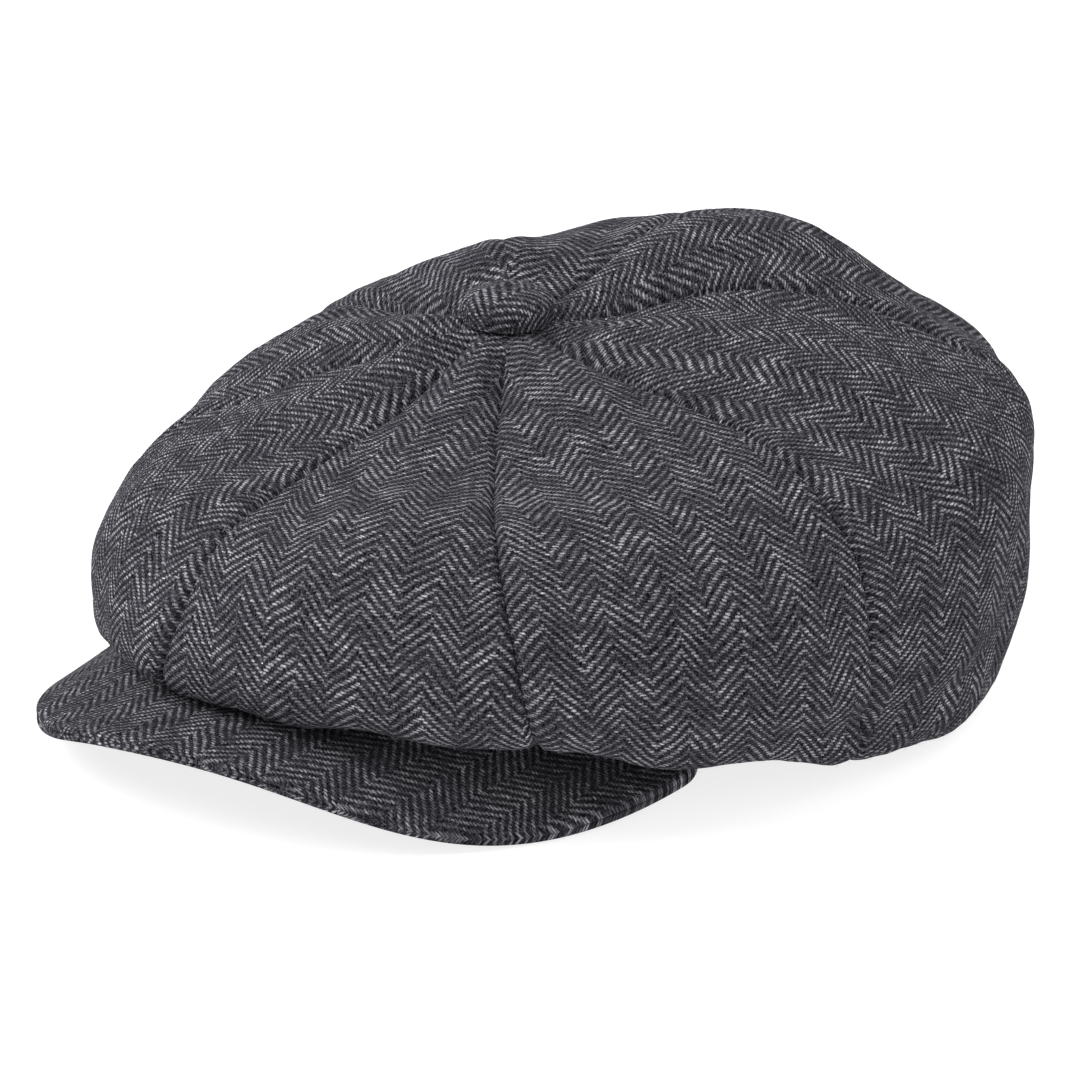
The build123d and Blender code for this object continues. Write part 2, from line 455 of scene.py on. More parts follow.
def new_material(name: str) -> tuple:
    """Make an empty node material.

    Args:
        name: name of the real material and of how it was made.

    Returns:
        The material, its node tree and its shader.
    """
    material = bpy.data.materials.new(name)
    material.use_nodes = True
    tree = material.node_tree
    tree.nodes.clear()
    shader = add_node(tree, "ShaderNodeBsdfPrincipled")
    add_node(tree, "ShaderNodeOutputMaterial", {0: shader.outputs[0]})
    return material, tree, shader


@dataclass(frozen=True)
class Tweed:
    """Wool herringbone in 2/2 twill, lightly brushed: pale flecked weft over a near-black warp.

    Carded wool scatters light with hardly any gloss. The eye gets pale broken lines in zigzag columns, painted shade
    in the hollows between the yarns, and a thin veil of hair over both.
    """

    name: str = "wool_herringbone_tweed_brushed"
    pale: str = "#e9e9f0"
    pale_low: str = "#62626a"
    dark: str = "#050507"
    dark_high: str = "#16161a"
    fuzz: str = "#7a7a82"
    roughness: float = 0.92
    specular: float = 0.02
    yarn: float = 0.78  # mm from one yarn to the next
    ends: int = 11  # warp ends in one leg of the herringbone
    relief: float = 0.42  # mm
    bump: float = 0.7
    wanders: tuple = ((0.8, 0.75), (3.5, 0.7), (17.0, 3.2))  # mm, size of each wander of the yarns and its reach
    slub: float = 1.8  # mm, thick and thin places along a yarn
    nap: float = 0.5  # mm, grain of the brushed nap, drawn coarser than real fibres so that it shows
    patch: float = 11.0  # mm, places that were brushed more or less
    curls: tuple = ((3.4, 26.0), (1.1, 9.0))  # mm, size of the curls of loose hair, and how thin they are

    def wander(self, tree: bpy.types.NodeTree, place: bpy.types.NodeSocket) -> bpy.types.NodeSocket:
        """Move the flat place about a little, as hairy yarns wander, so no edge of the weave is straight.

        Args:
            tree: node tree to add to.
            place: flat place on the cloth.

        Returns:
            Socket with the moved place.
        """
        moved = place
        for size, amount in self.wanders:
            noise = add_node(
                tree, "ShaderNodeTexNoise", {"Vector": place}, {"Scale": 1 / (size * MM), "Detail": 1.0}
            )
            centred = add_node(
                tree,
                "ShaderNodeVectorMath",
                {0: noise.outputs["Color"]},
                {1: (0.5, 0.5, 0.5)},
                operation="SUBTRACT",
            )
            step = add_node(
                tree, "ShaderNodeVectorMath", {0: centred.outputs[0]}, {"Scale": amount * MM}, operation="SCALE"
            )
            moved = add_node(
                tree, "ShaderNodeVectorMath", {0: moved, 1: step.outputs[0]}, operation="ADD"
            ).outputs[0]
        return moved

    def loose_hair(
        self, tree: bpy.types.NodeTree, place: bpy.types.NodeSocket, size: float, sharp: float
    ) -> bpy.types.NodeSocket:
        """Draw thin curly lines, like fibres that lie on the cloth.

        Args:
            tree: node tree to add to.
            place: flat place on the cloth.
            size: size of the curls in millimetres.
            sharp: how thin the lines are.

        Returns:
            Socket that is 1 along each line and 0 away from it.
        """
        noise = add_node(
            tree,
            "ShaderNodeTexNoise",
            {"Vector": place},
            {"Scale": 1 / (size * MM), "Detail": 2.0, "Roughness": 0.55, "Distortion": 1.2},
        ).outputs["Fac"]
        ridge = calc(tree, "SUBTRACT", 1.0, calc(tree, "ABSOLUTE", calc(tree, "MULTIPLY_ADD", noise, 2.0, -1.0)))
        return calc(tree, "POWER", ridge, sharp)

    def weave(self, tree: bpy.types.NodeTree, place: bpy.types.NodeSocket) -> tuple:
        """Lay the warp and the weft in a herringbone.

        Args:
            tree: node tree to add to.
            place: flat place on the cloth.

        Returns:
            Sockets with the number of the warp yarn, the number of the weft yarn, whether the weft is on top,
            and the height of the yarn on top.
        """
        split = add_node(tree, "ShaderNodeSeparateXYZ", {0: self.wander(tree, place)})
        warp_place = calc(tree, "DIVIDE", split.outputs[0], self.yarn * MM)
        weft_place = calc(tree, "DIVIDE", split.outputs[1], self.yarn * MM)
        warp = calc(tree, "FLOOR", warp_place)
        weft = calc(tree, "FLOOR", weft_place)
        across_warp = calc(tree, "SUBTRACT", warp_place, warp)
        across_weft = calc(tree, "SUBTRACT", weft_place, weft)
        # Which leg of the herringbone this is, and which way its twill climbs
        leg = calc(tree, "FLOOR", calc(tree, "DIVIDE", warp, float(self.ends)))
        odd = calc(tree, "FLOORED_MODULO", leg, 2.0)
        way = calc(tree, "MULTIPLY_ADD", odd, -2.0, 1.0)
        end = calc(tree, "FLOORED_MODULO", warp, float(self.ends))
        climb = calc(tree, "ADD", calc(tree, "MULTIPLY", way, end), weft)
        climb = calc(tree, "ADD", odd, climb)
        turn = calc(tree, "FLOORED_MODULO", climb, 4.0)  # two over and two under
        is_weft = calc(tree, "LESS_THAN", turn, 1.5)
        # A float bulges along its two crossings and is round across
        forward = calc(tree, "MULTIPLY_ADD", calc(tree, "SUBTRACT", across_warp, 0.5), way, 0.5)
        weft_run = calc(tree, "MULTIPLY", calc(tree, "ADD", turn, forward), math.pi / 2)
        warp_turn = calc(tree, "ADD", calc(tree, "SUBTRACT", turn, 2.0), across_weft)
        warp_run = calc(tree, "MULTIPLY", warp_turn, math.pi / 2)
        heights = []
        for run, across in ((weft_run, across_weft), (warp_run, across_warp)):
            bulge = calc(tree, "SQRT", calc(tree, "ABSOLUTE", calc(tree, "SINE", run)))
            round_off = calc(tree, "SINE", calc(tree, "MULTIPLY", across, math.pi))
            heights.append(calc(tree, "MULTIPLY", round_off, bulge))
        height = add_node(
            tree, "ShaderNodeMix", {"Factor": is_weft, 2: heights[1], 3: heights[0]}, data_type="FLOAT"
        ).outputs[0]
        return warp, weft, is_weft, height

    def yarn_shade(
        self,
        tree: bpy.types.NodeTree,
        place: bpy.types.NodeSocket,
        warp: bpy.types.NodeSocket,
        weft: bpy.types.NodeSocket,
        patch: bpy.types.NodeSocket,
    ) -> bpy.types.NodeSocket:
        """Give each yarn its own shade, with slubs along it, and each float its own way of taking the light.

        Args:
            tree: node tree to add to.
            place: flat place on the cloth.
            warp: number of the warp yarn.
            weft: number of the weft yarn.
            patch: how far this place of the cloth was brushed.

        Returns:
            Socket from 0, the weft's darker shade, to 1, its palest.
        """
        weft_id = add_node(tree, "ShaderNodeTexWhiteNoise", {"W": weft}, noise_dimensions="1D").outputs["Value"]
        pair = add_node(
            tree, "ShaderNodeCombineXYZ", {0: calc(tree, "FLOOR", calc(tree, "MULTIPLY", warp, 0.5)), 1: weft}
        )
        float_id = add_node(
            tree, "ShaderNodeTexWhiteNoise", {"Vector": pair.outputs[0]}, noise_dimensions="2D"
        ).outputs["Value"]
        long_way = add_node(
            tree, "ShaderNodeVectorMath", {0: place}, {1: (0.3, 2.0, 1.0)}, operation="MULTIPLY"
        ).outputs[0]
        slub = add_node(
            tree, "ShaderNodeTexNoise", {"Vector": long_way}, {"Scale": 1 / (self.slub * MM), "Detail": 3.0}
        ).outputs["Fac"]
        shade = calc(tree, "MULTIPLY_ADD", slub, 2.2, calc(tree, "MULTIPLY_ADD", weft_id, 0.25, -1.22))
        shade = calc(tree, "ADD", shade, calc(tree, "MULTIPLY", float_id, 0.45))
        shade = calc(tree, "ADD", shade, calc(tree, "MULTIPLY_ADD", patch, 1.7, -0.85))
        return add_node(tree, "ShaderNodeClamp", {0: shade}).outputs[0]

    def build(self) -> bpy.types.Material:
        """Build the woven material from the cloth's flat coordinates.

        Returns:
            The material.
        """
        material, tree, shader = new_material(self.name)
        place = add_node(tree, "ShaderNodeUVMap", uv_map="cloth").outputs[0]
        warp, weft, is_weft, height = self.weave(tree, place)
        hair = add_node(
            tree,
            "ShaderNodeTexNoise",
            {"Vector": place},
            {"Scale": 1 / (self.nap * MM), "Detail": 4.0, "Roughness": 0.8},
        ).outputs["Fac"]
        patch = add_node(
            tree,
            "ShaderNodeTexNoise",
            {"Vector": place},
            {"Scale": 1 / (self.patch * MM), "Detail": 3.0, "Roughness": 0.6},
        ).outputs["Fac"]
        shade = self.yarn_shade(tree, place, warp, weft, patch)
        ends = {6: linear(self.pale_low), 7: linear(self.pale)}
        pale = add_node(tree, "ShaderNodeMix", {"Factor": shade}, ends, data_type="RGBA").outputs[2]
        ends = {6: linear(self.dark), 7: linear(self.dark_high)}
        dark = add_node(tree, "ShaderNodeMix", {"Factor": hair}, ends, data_type="RGBA").outputs[2]
        # The hollows between yarns get painted shade: the weft fades to the dark warp colour towards the edges and
        # ends of each float
        crown = calc(tree, "POWER", height, 1.5)
        weft_share_with_painted_hollow_shade = calc(tree, "MULTIPLY", is_weft, calc(tree, "MULTIPLY_ADD", crown, 0.95, 0.05))
        colour = add_node(
            tree, "ShaderNodeMix", {"Factor": weft_share_with_painted_hollow_shade, 6: dark, 7: pale}, data_type="RGBA"
        ).outputs[2]
        # Brushed fibres cross the weave
        strands = calc(tree, "MAXIMUM", *(self.loose_hair(tree, place, *curl) for curl in self.curls))
        strands = calc(tree, "MULTIPLY", strands, calc(tree, "MULTIPLY_ADD", hair, 2.25, -0.79))
        strands = add_node(tree, "ShaderNodeClamp", {0: strands}).outputs[0]
        colour = add_node(
            tree, "ShaderNodeMix", {"Factor": strands, 6: colour}, {7: linear(self.fuzz)}, data_type="RGBA"
        ).outputs[2]
        brush = calc(tree, "MULTIPLY_ADD", hair, 3.4, -0.75)
        brush = calc(tree, "MULTIPLY", brush, calc(tree, "MULTIPLY_ADD", patch, 0.5, 0.75))
        shaded = add_node(tree, "ShaderNodeVectorMath", {0: colour, "Scale": brush}, operation="SCALE").outputs[0]
        tree.links.new(shaded, shader.inputs["Base Color"])
        shader.inputs["Roughness"].default_value = self.roughness
        shader.inputs["Specular IOR Level"].default_value = self.specular
        hairs_up = calc(tree, "MULTIPLY_ADD", hair, 0.6, calc(tree, "MULTIPLY", strands, 0.6))
        bump = add_node(
            tree,
            "ShaderNodeBump",
            {"Height": calc(tree, "ADD", height, hairs_up)},
            {"Strength": self.bump, "Distance": self.relief * MM},
        )
        tree.links.new(bump.outputs[0], shader.inputs["Normal"])
        return material


@dataclass(frozen=True)
class WoolFibre:
    """Single wool fibres that stand off the brushed cloth.

    Each has one shade from near black to pale grey, as the yarn was spun from mixed wool. The eye gets a soft
    edge on the cap and a few pale hairs over the cloth.
    """

    name: str = "wool_fibre_loose"
    dark: str = "#2c2c31"
    pale: str = "#b4b4bb"
    roughness: float = 0.6

    def build(self) -> bpy.types.Material:
        """Build the fibre with a shade of its own for each strand.

        Returns:
            The material.
        """
        material, tree, shader = new_material(self.name)
        place = add_node(tree, "ShaderNodeUVMap", uv_map="cloth").outputs[0]
        strand = add_node(
            tree, "ShaderNodeVectorMath", {0: place}, {1: (1 / MM, 0.0, 0.0)}, operation="MULTIPLY"
        ).outputs[0]
        shade = add_node(tree, "ShaderNodeTexWhiteNoise", {"Vector": strand}, noise_dimensions="2D").outputs["Value"]
        ends = {6: linear(self.dark), 7: linear(self.pale)}
        colour = add_node(tree, "ShaderNodeMix", {"Factor": shade}, ends, data_type="RGBA").outputs[2]
        tree.links.new(colour, shader.inputs["Base Color"])
        shader.inputs["Roughness"].default_value = self.roughness
        return material


@dataclass(frozen=True)
class PlainCloth:
    """Plain woven cloth, such as satin lining, grosgrain or pressed stiffener."""

    name: str
    colour: str
    roughness: float
    rib: float  # mm from one rib to the next, drawn coarser in the satin and the grosgrain so that it shows
    relief: float  # mm
    sheen: float = 0.0
    stretch: tuple = (1.0, 1.0)
    grain: float = 2.0  # mm, unevenness of the shade
    bump: float = 0.4

    def build(self) -> bpy.types.Material:
        """Build the cloth from ribs along one or both ways and fine noise.

        Returns:
            The material.
        """
        material, tree, shader = new_material(self.name)
        place = add_node(tree, "ShaderNodeUVMap", uv_map="cloth").outputs[0]
        split = add_node(tree, "ShaderNodeSeparateXYZ", {0: place})
        waves = [
            calc(tree, "SINE", calc(tree, "MULTIPLY", split.outputs[way], 2 * math.pi / (self.rib * MM) * stretch))
            for way, stretch in enumerate(self.stretch)
        ]
        ribs = calc(tree, "ADD", *waves)
        grain = add_node(
            tree, "ShaderNodeTexNoise", {"Vector": place}, {"Scale": 1 / (self.grain * MM), "Detail": 4.0}
        ).outputs["Fac"]
        shade = calc(tree, "MULTIPLY_ADD", ribs, 0.08, calc(tree, "MULTIPLY_ADD", grain, 0.5, 0.72))
        tint = add_node(
            tree, "ShaderNodeVectorMath", {"Scale": shade}, {0: linear(self.colour)[:3]}, operation="SCALE"
        ).outputs[0]
        tree.links.new(tint, shader.inputs["Base Color"])
        shader.inputs["Roughness"].default_value = self.roughness
        shader.inputs["Sheen Weight"].default_value = self.sheen
        height = {"Strength": self.bump, "Distance": self.relief * MM}
        bump = add_node(tree, "ShaderNodeBump", {"Height": ribs}, height)
        tree.links.new(bump.outputs[0], shader.inputs["Normal"])
        return material


@dataclass(frozen=True)
class Solid:
    """Moulded or metal finish for pieces that are inside the cap."""

    name: str
    colour: str
    roughness: float
    metallic: float = 0.0
    grain: float = 0.6  # mm
    relief: float = 0.05  # mm
    bump: float = 0.2

    def build(self) -> bpy.types.Material:
        """Build the finish with a fine grain in its shade and relief.

        Returns:
            The material.
        """
        material, tree, shader = new_material(self.name)
        place = add_node(tree, "ShaderNodeTexCoord").outputs["Object"]
        grain = add_node(
            tree, "ShaderNodeTexNoise", {"Vector": place}, {"Scale": 1 / (self.grain * MM), "Detail": 4.0}
        ).outputs["Fac"]
        tint = add_node(
            tree,
            "ShaderNodeVectorMath",
            {"Scale": calc(tree, "MULTIPLY_ADD", grain, 0.4, 0.8)},
            {0: linear(self.colour)[:3]},
            operation="SCALE",
        ).outputs[0]
        tree.links.new(tint, shader.inputs["Base Color"])
        shader.inputs["Roughness"].default_value = self.roughness
        shader.inputs["Metallic"].default_value = self.metallic
        height = {"Strength": self.bump, "Distance": self.relief * MM}
        bump = add_node(tree, "ShaderNodeBump", {"Height": grain}, height)
        tree.links.new(bump.outputs[0], shader.inputs["Normal"])
        return material


TWEED = Tweed()
# Acetate satin: long floats that shine along one way, so the lining looks smooth and a little wet
LINING = PlainCloth("satin_lining_black", "#202024", 0.32, 0.35, 0.03, 0.1, (0.2, 1.0))
# Corded ribbon: ribs up the band that catch the light one by one, with a dull face
GROSGRAIN = PlainCloth("grosgrain_sweatband_black", "#26262a", 0.7, 1.1, 0.15, 0.2, (1.0, 0.0))
# Starched open cloth: a dry, pale, square-meshed face
STIFFENER = PlainCloth("buckram_stiffener_pressed", "#c4beb2", 0.9, 1.4, 0.1)
# Polyethylene sheet: dark and waxy, with a low soft gloss
BOARD = Solid("visor_board_moulded_polyethylene", "#2b2b2e", 0.45)
# Stamped aluminium: bright, with a fine matt grain from the press
SHELL = Solid("button_shell_stamped_aluminium", "#b9bcc0", 0.35, 1.0, 0.3)
FIBRE = WoolFibre()


# ---------------------------------------------------------------- crown
@dataclass(frozen=True)
class Crease:
    """A soft fold that runs round the crown between two angles from the front."""

    first: float  # degrees
    last: float
    share: float  # of the way from button to band
    climb: float  # change of that share from first to last
    depth: float  # mm
    width: float  # mm
    lip: float  # mm, bulge of the cloth above the fold


@dataclass(frozen=True)
class Fullness:
    """A place where the soft cloth stands out, or sinks in where the height is negative."""

    angle: float  # degrees from the front
    share: float
    height: float  # mm
    spread: float  # degrees
    reach: float  # share of the way from button to band


@dataclass(frozen=True)
class Unevenness:
    """Soft ripples all over the cloth."""

    height: float  # mm
    seed: int
    shortest: float  # mm
    longest: float  # mm
    upright: float = 1.0  # under 1 draws the ripples out upwards


@dataclass(frozen=True)
class SeamSizes:
    """How the cloth is drawn in along a sewn seam and round the button, in millimetres."""

    ditch_depth: float = 1.7  # narrow groove over the stitches
    ditch_width: float = 0.95
    dip_depth: float = 0.55  # wider hollow beside it
    dip_width: float = 3.5
    welt_height: float = 0.28  # turned seam allowance under the cloth
    welt_place: float = 5.5
    welt_width: float = 2.5
    pinch_depth: float = 1.7  # seams drawn down just outside the button
    pinch_width: float = 4.0
    pinch_place: float = 26.0
    pinch_length: float = 17.0
    crest_height: float = 0.8  # cloth that the pinch pushes up along the middle of each gore
    crest_width: float = 0.22  # share of the gore's width
    gather_height: float = 0.22  # fine gathers round the button
    gather_place: float = 18.0
    gather_length: float = 9.0
    gathers: int = 27
    slack_angle: float = 225.0  # degrees, where the cloth near the button is drawn in less
    slack_spread: float = 30.0


SEAM_SHARES = (0.0, 0.1, 0.3, 0.5, 0.7, 0.85, 1.0)
SEAM_SHIFTS = (
    (0, -4, -4, 2, 2, -3, 0),
    (0, -6, -5, -3, 0, 3, 2),
    (0, -5, 4, 2, 1, 4, 2),
    (0, 10, 9, 10, 9, 5, 1),
    (0, 4, 5, 4, 3, 2, 0),
    (0, -2, 2, 1, 0, 0, 0),
    (0, 3, -2, -3, -1, 0, 0),
    (0, -3, -4, -2, 2, 1, 0),
)  # degrees that each sewn seam strays from its even place, at the shares above
CREASES = (
    Crease(68, 124, 0.795, -0.03, 2.2, 5.0, 0.8),
    Crease(10, 62, 0.835, 0.0, 0.9, 6.0, 0.5),
    Crease(200, 250, 0.80, 0.02, 1.4, 6.0, 0.8),
    Crease(290, 340, 0.82, -0.02, 1.2, 6.0, 0.6),
)
FULLNESSES = (
    Fullness(134, 0.72, 4.6, 30, 0.14),
    Fullness(104, 0.91, 7.0, 30, 0.10),
    Fullness(140, 0.90, 1.0, 26, 0.10),
    Fullness(262, 0.42, 4.0, 22, 0.14),
    Fullness(238, 0.34, -2.5, 14, 0.14),
    Fullness(204, 0.30, -4.0, 15, 0.14),
    Fullness(224, 0.14, 8.0, 17, 0.09),
    Fullness(152, 0.42, 1.2, 22, 0.12),
    Fullness(300, 0.62, -2.5, 26, 0.15),
)
UNEVENNESSES = (
    Unevenness(0.95, 11, 42, 100),
    Unevenness(0.32, 12, 17, 34, 0.6),
    Unevenness(0.07, 13, 6, 12),
)


@dataclass
class Crown:
    """Eight gores of tweed that puff between their seams, with lining gores inside."""

    cap: Cap
    seams: SeamSizes = SeamSizes()
    rows: int = 150
    columns: int = 45
    fill: float = 0.9984  # share of the way to its seams that a gore's cloth reaches
    typical_length: float = 205.0  # of a gore, from button to band
    cut_step: float = 37.0  # along the cloth from one gore's cut to the next
    lining_rows: int = 80
    lining_columns: int = 21
    lining_fill: float = 0.9998
    lining_inset: float = 2.3
    lining_cloth: float = 0.5
    lining_slack: float = 0.4
    lining_sag: float = 0.3
    eye: float = 3.0  # hole in the middle, under the button
    tuck_gap: float = 0.15  # between the crown's turned edge and the band
    tuck_power: float = 1.2
    puff_start: tuple = (0.0, 0.22)  # where the puffs and the drawn seams begin and end, as shares of a gore
    puff_end: tuple = (0.3, 0.35)
    draw_start: tuple = (0.3, 0.3)
    draw_end: tuple = (0.86, 0.12)
    crease_fade: float = 16.0  # degrees
    line_points: int = 260  # of the fine line that a meridian is smoothed on
    line_passes: int = 30
    seam_passes: int = 40
    table_step: float = 1.5  # degrees
    faces: list = field(default_factory=list)

    @property
    def table_angle(self) -> np.ndarray:
        """Angles of the table of meridians, a little more than once round."""
        return np.radians(np.arange(-30.0, 391.0, self.table_step))

    def meridian(self, angle: np.ndarray, inset: float, count: int) -> np.ndarray:
        """Points of the crown's smooth face for each angle, evenly spaced from button to band.

        Args:
            angle: angles from the front, in radians.
            inset: distance inside the outer face, in millimetres.
            count: points on each meridian.

        Returns:
            Array (count, angles, 2) of reach and height.
        """
        cap, c = self.cap, self.cap.crown
        left = np.sin(angle)
        wide = cap.crown_reach(angle) - inset
        wide_height = cap.blend(angle, c.wide_front, c.wide_side, c.wide_back) + c.wide_lean * left
        crest = cap.blend(angle, c.crest_front, c.crest_side, c.crest_back) - c.crest_lean * left
        crest += c.ridge_rise * bell(angle, c.ridge_angle, c.ridge_spread)
        low = cap.blend(angle, cap.low_front, c.low_side, c.low_back) + inset
        top = cap.crown_top - inset
        seat = cap.button_radius
        start = np.arcsin((seat / wide) ** (c.shoulder_power / 2))
        lines = []
        for reach in np.linspace(self.eye, seat, 8)[:-1]:
            lines.append((np.full_like(angle, reach), np.full_like(angle, top)))
        for share in np.linspace(0, 1, 70):
            turn = start + (math.pi / 2 - start) * share
            reach = wide * np.sin(turn) ** (2 / c.shoulder_power)
            swell = crest * np.sin(math.pi * reach / wide) ** 2
            up = np.maximum(np.cos(turn), 0) ** (2 / c.shoulder_power)
            lines.append((reach, wide_height + (top - wide_height) * up + swell))
        band = cap.band_reach(angle)
        fold = band + c.fold_share * (cap.crown_reach(angle) - band)
        for turn in np.linspace(0, math.pi / 2, 30)[1:]:
            reach = fold + (wide - fold) * max(math.cos(turn), 0) ** (2 / c.underside_power)
            lines.append((reach, wide_height - (wide_height - low) * math.sin(turn) ** (2 / c.underside_power)))
        tuck = fold - band - self.tuck_gap
        up = cap.band_height(angle, cap.band.seam_up) + inset - low
        for share in np.linspace(0, 1, 20)[1:]:
            lines.append((fold - tuck * share, low + up * share**self.tuck_power))
        line = self.even(np.stack([np.stack(pair, axis=-1) for pair in lines]), self.line_points)
        for _ in range(self.line_passes):
            line[1:-1] = (line[:-2] + 2 * line[1:-1] + line[2:]) / 4
        return self.even(line, count)

    @staticmethod
    def even(line: np.ndarray, count: int) -> np.ndarray:
        """Respace each column of points evenly along its own length.

        Args:
            line: array (points, columns, 2).
            count: points that each column gets.

        Returns:
            Array (count, columns, 2).
        """
        steps = np.linalg.norm(np.diff(line, axis=0), axis=-1)
        along = np.concatenate([np.zeros((1, line.shape[1])), np.cumsum(steps, axis=0)])
        out = np.empty((count, line.shape[1], 2))
        for k in range(line.shape[1]):
            at = np.linspace(0, along[-1, k], count)
            for axis in range(2):
                out[:, k, axis] = np.interp(at, along[:, k], line[:, k, axis])
        return out

    def seam(self, number: int, share: np.ndarray) -> np.ndarray:
        """Work out where a seam runs.

        Args:
            number: place of the seam, counted from the front towards the wearer's left.
            share: shares of the way from button to band.

        Returns:
            Angle from the front at each share, in radians.
        """
        places = np.linspace(0, 1, 101)
        fine = np.interp(places, SEAM_SHARES, np.array(SEAM_SHIFTS[number % len(PLACES)]))
        for _ in range(self.seam_passes):
            fine[1:-1] = (fine[:-2] + 2 * fine[1:-1] + fine[2:]) / 4
        return np.radians(360.0 / len(PLACES) * number + np.interp(share, places, fine))

    def gore(self, number: int, rows: int, columns: int, inset: float, fill: float) -> tuple:
        """Smooth grid of one gore.

        Args:
            number: place of the gore, counted from the front towards the wearer's left.
            rows: grid rows from button to band.
            columns: grid columns from seam to seam.
            inset: distance inside the crown's face, in millimetres.
            fill: share of the way from the gore's middle to its seams that the cloth reaches.

        Returns:
            Points (rows, columns, 3), their normals and angles, and their shares across and along the gore.
        """
        share = np.linspace(0, 1, rows)
        across = np.sin(np.linspace(-1, 1, columns) * math.pi / 2) * fill / 2 + 0.5
        first, last = self.seam(number, share), self.seam(number + 1, share)
        last = np.where(last < first, last + 2 * math.pi, last)
        angle = first[:, None] + (last - first)[:, None] * across[None]
        turn = self.table_angle
        table = self.meridian(turn, inset, rows)
        shell = np.stack([table[..., 0] * np.sin(turn), -table[..., 0] * np.cos(turn), table[..., 1]], axis=-1)
        normals = grid_normals(shell)
        points, outward = np.empty((rows, columns, 3)), np.empty((rows, columns, 3))
        for r in range(rows):
            reach = np.interp(angle[r], turn, table[r, :, 0])
            height = np.interp(angle[r], turn, table[r, :, 1])
            points[r] = np.stack([reach * np.sin(angle[r]), -reach * np.cos(angle[r]), height], axis=-1)
            for axis in range(3):
                outward[r, :, axis] = np.interp(angle[r], turn, normals[r, :, axis])
        across = across[None] + 0 * angle
        return points + self.cap.axis, outward, angle, across, share[:, None] + 0 * angle

    @staticmethod
    def flat(points: np.ndarray) -> np.ndarray:
        """Lay a gore flat.

        Args:
            points: grid of the gore's points.

        Returns:
            Flat cloth coordinates: across from the gore's middle, and along from the button.
        """
        middle = points.shape[1] // 2
        step = np.linalg.norm(np.diff(points, axis=1), axis=-1)
        across = np.concatenate([np.zeros((len(points), 1)), np.cumsum(step, axis=1)], axis=1)
        across -= across[:, middle : middle + 1]
        down = np.linalg.norm(np.diff(points[:, middle], axis=0), axis=-1)
        along = np.concatenate([[0], np.cumsum(down)])
        return np.stack([across, np.repeat(along[:, None], points.shape[1], axis=1)], axis=-1)

    def puff(self, across: np.ndarray, share: np.ndarray) -> np.ndarray:
        """How far the cloth lies below the fullest line of its gore.

        Args:
            across: share of the way across the gore.
            share: share of the way from button to band.

        Returns:
            Depth in millimetres.
        """
        c = self.cap.crown
        gather = (1 + np.cos(2 * math.pi * across)) / 2
        depth = c.puff * rise(share, *self.puff_start) * (1 - rise(share, *self.puff_end))
        depth = depth + c.seam_draw * rise(share, *self.draw_start) * (1 - rise(share, *self.draw_end))
        return depth * gather

    def drawn(self, angle: np.ndarray, across: np.ndarray, share: np.ndarray, from_seam: np.ndarray) -> np.ndarray:
        """Height that the seams and the button give the cloth.

        Args:
            angle: angle from the front, in radians.
            across: share of the way across the gore.
            share: share of the way from button to band.
            from_seam: distance from the nearest seam, in millimetres.

        Returns:
            Height in millimetres, below 0 where the cloth is drawn in.
        """
        s = self.seams
        along = share * self.typical_length
        free = rise(along, 13, 14) * (1 - 0.7 * rise(share, 0.9, 0.08))
        slack = bell(np.degrees(angle) % 360, s.slack_angle, s.slack_spread)
        held = 1 - 0.85 * slack * (1 - rise(along, 35, 25))
        height = -s.ditch_depth * bell(from_seam, 0, s.ditch_width) * rise(along, 8, 10) * held
        height -= s.dip_depth * bell(from_seam, 0, s.dip_width) * free * held
        height += s.welt_height * bell(from_seam, s.welt_place, s.welt_width) * free
        pinch = bell(along, s.pinch_place, s.pinch_length) * (1 - 0.7 * slack)
        height -= s.pinch_depth * bell(from_seam, 0, s.pinch_width) * pinch
        height += s.crest_height * bell(across, 0.5, s.crest_width) * pinch
        gathers = np.sin(angle * s.gathers + 1.3) * bell(along, s.gather_place, s.gather_length)
        return height + s.gather_height * gathers

    def relief(
        self, points: np.ndarray, angle: np.ndarray, across: np.ndarray, share: np.ndarray, flat: np.ndarray
    ) -> np.ndarray:
        """Height of the cloth over the smooth crown: seams, puffs, gathers and folds.

        Args:
            points: points of the smooth crown.
            angle: angle of each point from the front, in radians.
            across: share of the way across the gore.
            share: share of the way from button to band.
            flat: flat cloth coordinates.

        Returns:
            Height in millimetres.
        """
        from_seam = np.minimum(flat[..., 0] - flat[:, :1, 0], flat[:, -1:, 0] - flat[..., 0])
        along = share * self.typical_length
        free = rise(along, 13, 14) * (1 - 0.7 * rise(share, 0.9, 0.08))
        height = self.drawn(angle, across, share, from_seam) - self.puff(across, share)
        for uneven in UNEVENNESSES:
            waves = ripple(points * (1, 1, uneven.upright), uneven.seed, uneven.shortest, uneven.longest)
            height += uneven.height * waves * free
        turn = np.degrees(angle) % 360
        for full in FULLNESSES:
            away = ((turn - full.angle) / full.spread) ** 2 + ((share - full.share) / full.reach) ** 2
            height += full.height * np.exp(-away)
        for fold in CREASES:
            window = rise(turn, fold.first, self.crease_fade) * rise(-turn, -fold.last, self.crease_fade)
            line = fold.share + fold.climb * np.clip((turn - fold.first) / (fold.last - fold.first), 0, 1)
            line = line + 0.008 * np.sin(turn / 7.0)
            off = (share - line) * self.typical_length
            height -= window * fold.depth * bell(off, 0, fold.width)
            height += window * fold.lip * bell(off, -2.2 * fold.width, 1.7 * fold.width)
        return height

